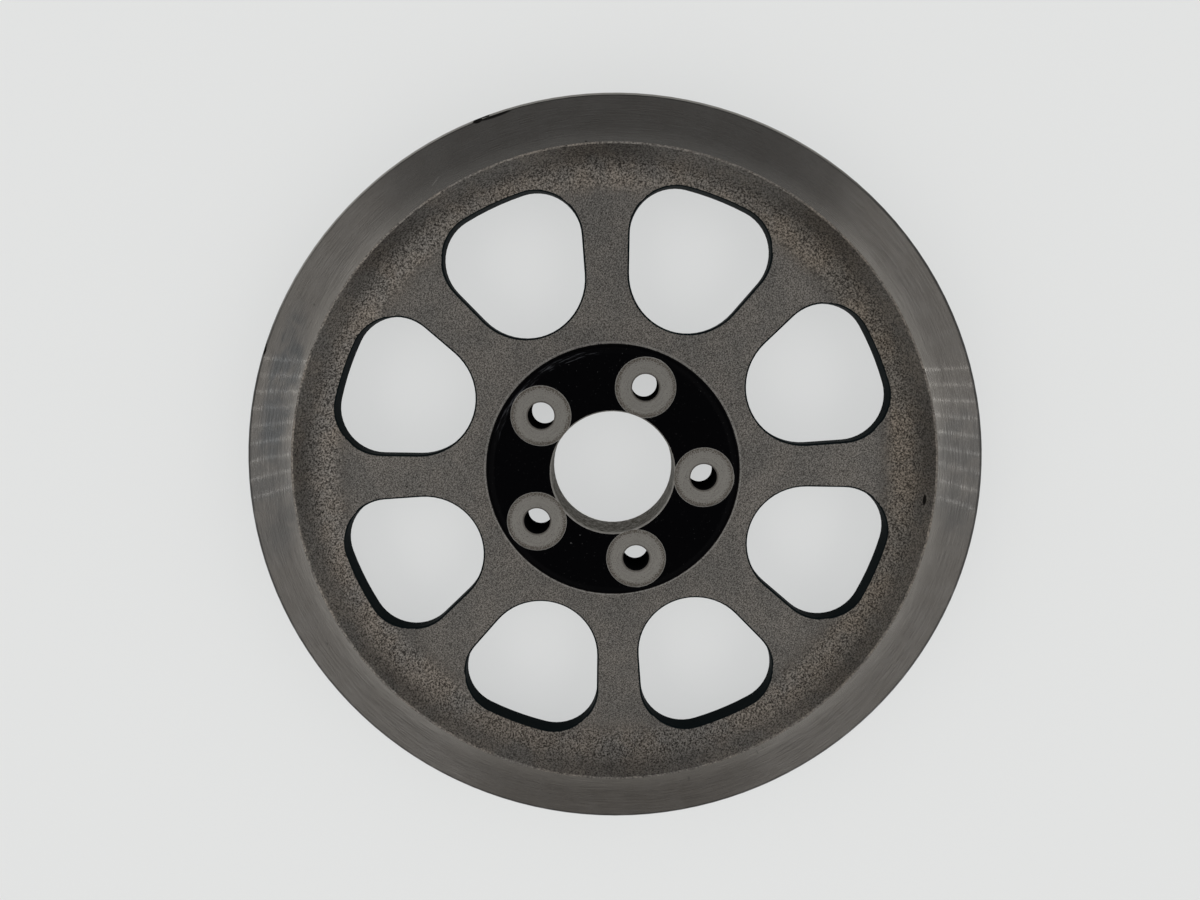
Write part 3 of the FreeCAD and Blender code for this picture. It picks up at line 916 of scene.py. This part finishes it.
def finishCasting(casting):
    bm = bmesh.new()
    bm.from_mesh(casting.data)
    bmesh.ops.remove_doubles(bm, verts=bm.verts, dist=joinWithin)
    bm.normal_update()
    nickPlaces = [nickMatrix(nick).inverted() for nick in nicks]
    counts = dict.fromkeys(finishOrder, 0)
    for face in bm.faces:
        name = finishOf(face.calc_center_median(), face.normal, nickPlaces)
        counts[name] += 1
        face.material_index = finishOrder.index(name)
        face.smooth = True
    for edge in bm.edges:
        edge.smooth = edge.is_manifold and edge.calc_face_angle(0.0) < sharpEdge
    openEdges = sum(not edge.is_manifold for edge in bm.edges)
    for name in finishOrder:
        casting.data.materials.append(finishes[name])
    bm.to_mesh(casting.data)
    bm.free()
    casting.modifiers.new("evenNormals", "WEIGHTED_NORMAL").keep_sharp = True
    print("faces of each finish:", counts, "open edges:", openEdges)


casting = copyCasting()
cutNicks(casting)
finishCasting(casting)
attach(casting, "root")
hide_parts("pulley")
print("casting made")

# The floor: pale, and a little paler to the eye and in reflections than its paint.
floorFinish = {
    "paint": (0.22, 0.222, 0.22, 1.0),
    "glow": (0.985, 1.0, 1.0, 1.0),
    "lift": 0.56,
    "roughness": 0.8,
    "size": 6.0,
}


def makeFloor():
    look = floorFinish
    material, tree, shader, _ = newFinish("floorPaint", Roughness=look["roughness"])
    shader.inputs["Base Color"].default_value = look["paint"]
    rays = addNode(tree, "ShaderNodeLightPath").outputs
    seen = calc(tree, "MAXIMUM", rays["Is Camera Ray"],
                calc(tree, "MAXIMUM", rays["Is Glossy Ray"], rays["Is Transmission Ray"]))
    shader.inputs["Emission Color"].default_value = look["glow"]
    tree.links.new(times(tree, seen, look["lift"]), shader.inputs["Emission Strength"])
    bm = bmesh.new()
    bmesh.ops.create_grid(bm, x_segments=1, y_segments=1, size=look["size"] / 2,
                          matrix=Matrix.Translation((0.0, 0.0, pulley["rimBack"])))
    mesh = bpy.data.meshes.new("floor")
    bm.to_mesh(mesh)
    bm.free()
    mesh.materials.append(material)
    floor = bpy.data.objects.new("floor", mesh)
    scene.collection.objects.link(floor)


makeFloor()
print("floor made")

# The room as the pulley reflects it: pale walls, brighter high up at the photograph's left and
# right, and a dark round patch overhead where the camera is. Directions are as the photograph
# lies. Places, sizes and edges are parts of a direction's unit length.
room = {
    "overhead": (0.03, 0.03, 0.031, 1.0),
    "overheadPlace": (0.0, -0.16),
    "overheadSize": (0.2, 0.24),
    "highSides": (1.28, 1.262, 1.236, 1.0),
    "highUpper": (0.495, 0.50, 0.505, 1.0),
    "highLower": (0.80, 0.775, 0.745, 1.0),
    "lowSides": (0.79, 0.785, 0.775, 1.0),
    "lowEnds": (0.625, 0.62, 0.61, 1.0),
    "seen": (0.74, 0.75, 0.75, 1.0),
    "sideEdges": (0.254, 0.334),
    "sideLean": 0.167,
    "highEdges": (0.45, 0.7),
    "endEdges": (0.3, -0.3),
    "overheadBlend": 1.6,
    "lowest": 0.05,
}


def makeRoom():
    world = bpy.data.worlds.new("room")
    world.use_nodes = True
    scene.world = world
    tree = world.node_tree
    direction = addNode(tree, "ShaderNodeTexCoord").outputs["Generated"]
    height = splitUp(tree, direction)[2]
    right = along(tree, direction, fromPhoto(1.0, 0.0, 0.0))
    up = along(tree, direction, fromPhoto(0.0, 1.0, 0.0))
    lean = times(tree, up, room["sideLean"])
    sideways = calc(tree, "SUBTRACT", calc(tree, "ABSOLUTE", right), lean)
    atSides = smooth(tree, sideways, *room["sideEdges"])
    ends = mixColour(tree, smooth(tree, up, *room["endEdges"]), room["highUpper"],
                     room["highLower"])
    high = mixColour(tree, atSides, ends, room["highSides"])
    low = mixColour(tree, atSides, room["lowEnds"], room["lowSides"])
    walls = mixColour(tree, smooth(tree, height, *room["highEdges"]), low, high)
    # the patch overhead, on a flat ceiling
    steep = calc(tree, "MAXIMUM", height, room["lowest"])
    patchParts = []
    for part, centre, size in zip((right, up), room["overheadPlace"], room["overheadSize"]):
        offset = calc(tree, "SUBTRACT", calc(tree, "DIVIDE", part, steep), centre)
        patchParts.append(calc(tree, "DIVIDE", offset, size))
    fromPatch = length(tree, joinUp(tree, *patchParts))
    outside = smooth(tree, fromPatch, 1.0, room["overheadBlend"])
    reflected = mixColour(tree, outside, room["overhead"], walls)
    seen = addNode(tree, "ShaderNodeLightPath").outputs["Is Camera Ray"]
    shown = mixColour(tree, seen, reflected, room["seen"])
    tree.links.new(shown, tree.nodes["Background"].inputs["Color"])


makeRoom()
print("room made")

# Two rows of slim far lamps draw fine streaks across the turned ring. Bearings are as the
# photograph lies (0 is right, 90 is up); bearings, height and sizes are in degrees.
lampRows = {
    "count": 9,
    "spacing": 2.64,
    "bearings": (-11.8, 190.4),
    "height": 59.5,
    "distance": 8.0,
    "size": (0.1, 10.0),
    "bright": 6.2,
}


def addLamp(name, bearing):
    distance = lampRows["distance"]
    width, tall = (2 * distance * math.tan(math.radians(angle / 2)) for angle in lampRows["size"])
    lamp = bpy.data.lights.new(name, "AREA")
    lamp.shape = "RECTANGLE"
    lamp.size, lamp.size_y = width, tall
    lamp.energy = lampRows["bright"] * math.pi * width * tall
    thing = bpy.data.objects.new(name, lamp)
    scene.collection.objects.link(thing)
    around, above = math.radians(bearing), math.radians(lampRows["height"])
    flat = math.cos(above)
    away = fromPhoto(math.cos(around) * flat, math.sin(around) * flat, math.sin(above))
    thing.location = away * distance
    thing.rotation_euler = away.to_track_quat("Z", "Y").to_euler()


for side, middle in enumerate(lampRows["bearings"]):
    for index in range(lampRows["count"]):
        offset = (index - (lampRows["count"] - 1) / 2) * lampRows["spacing"]
        addLamp("rowLamp%d_%d" % (side, index), middle + offset)
print("lamps made")

# Where the photograph was taken from, in mm from the axle as the photograph lies.
cameraView = {
    "place": (0.66, 69.31, 410.18),
    "aim": (-5.76, 9.69, 18.0),
    "up": (-0.0025, 0.9886, -0.1503),
    "lens": 26.1,
    "sensor": 36.0,
    "nearest": 0.01,
}


def makeCamera():
    data = bpy.data.cameras.new("camera")
    data.lens = cameraView["lens"]
    data.sensor_width = cameraView["sensor"]
    data.clip_start = cameraView["nearest"]
    camera = bpy.data.objects.new("camera", data)
    scene.collection.objects.link(camera)
    place = fromPhoto(*cameraView["place"]) * mm
    back = (place - fromPhoto(*cameraView["aim"]) * mm).normalized()
    right = fromPhoto(*cameraView["up"]).cross(back).normalized()
    turn = Matrix((right, back.cross(right), back)).transposed()
    camera.matrix_world = Matrix.Translation(place) @ turn.to_4x4()
    scene.camera = camera


makeCamera()
print("camera made")
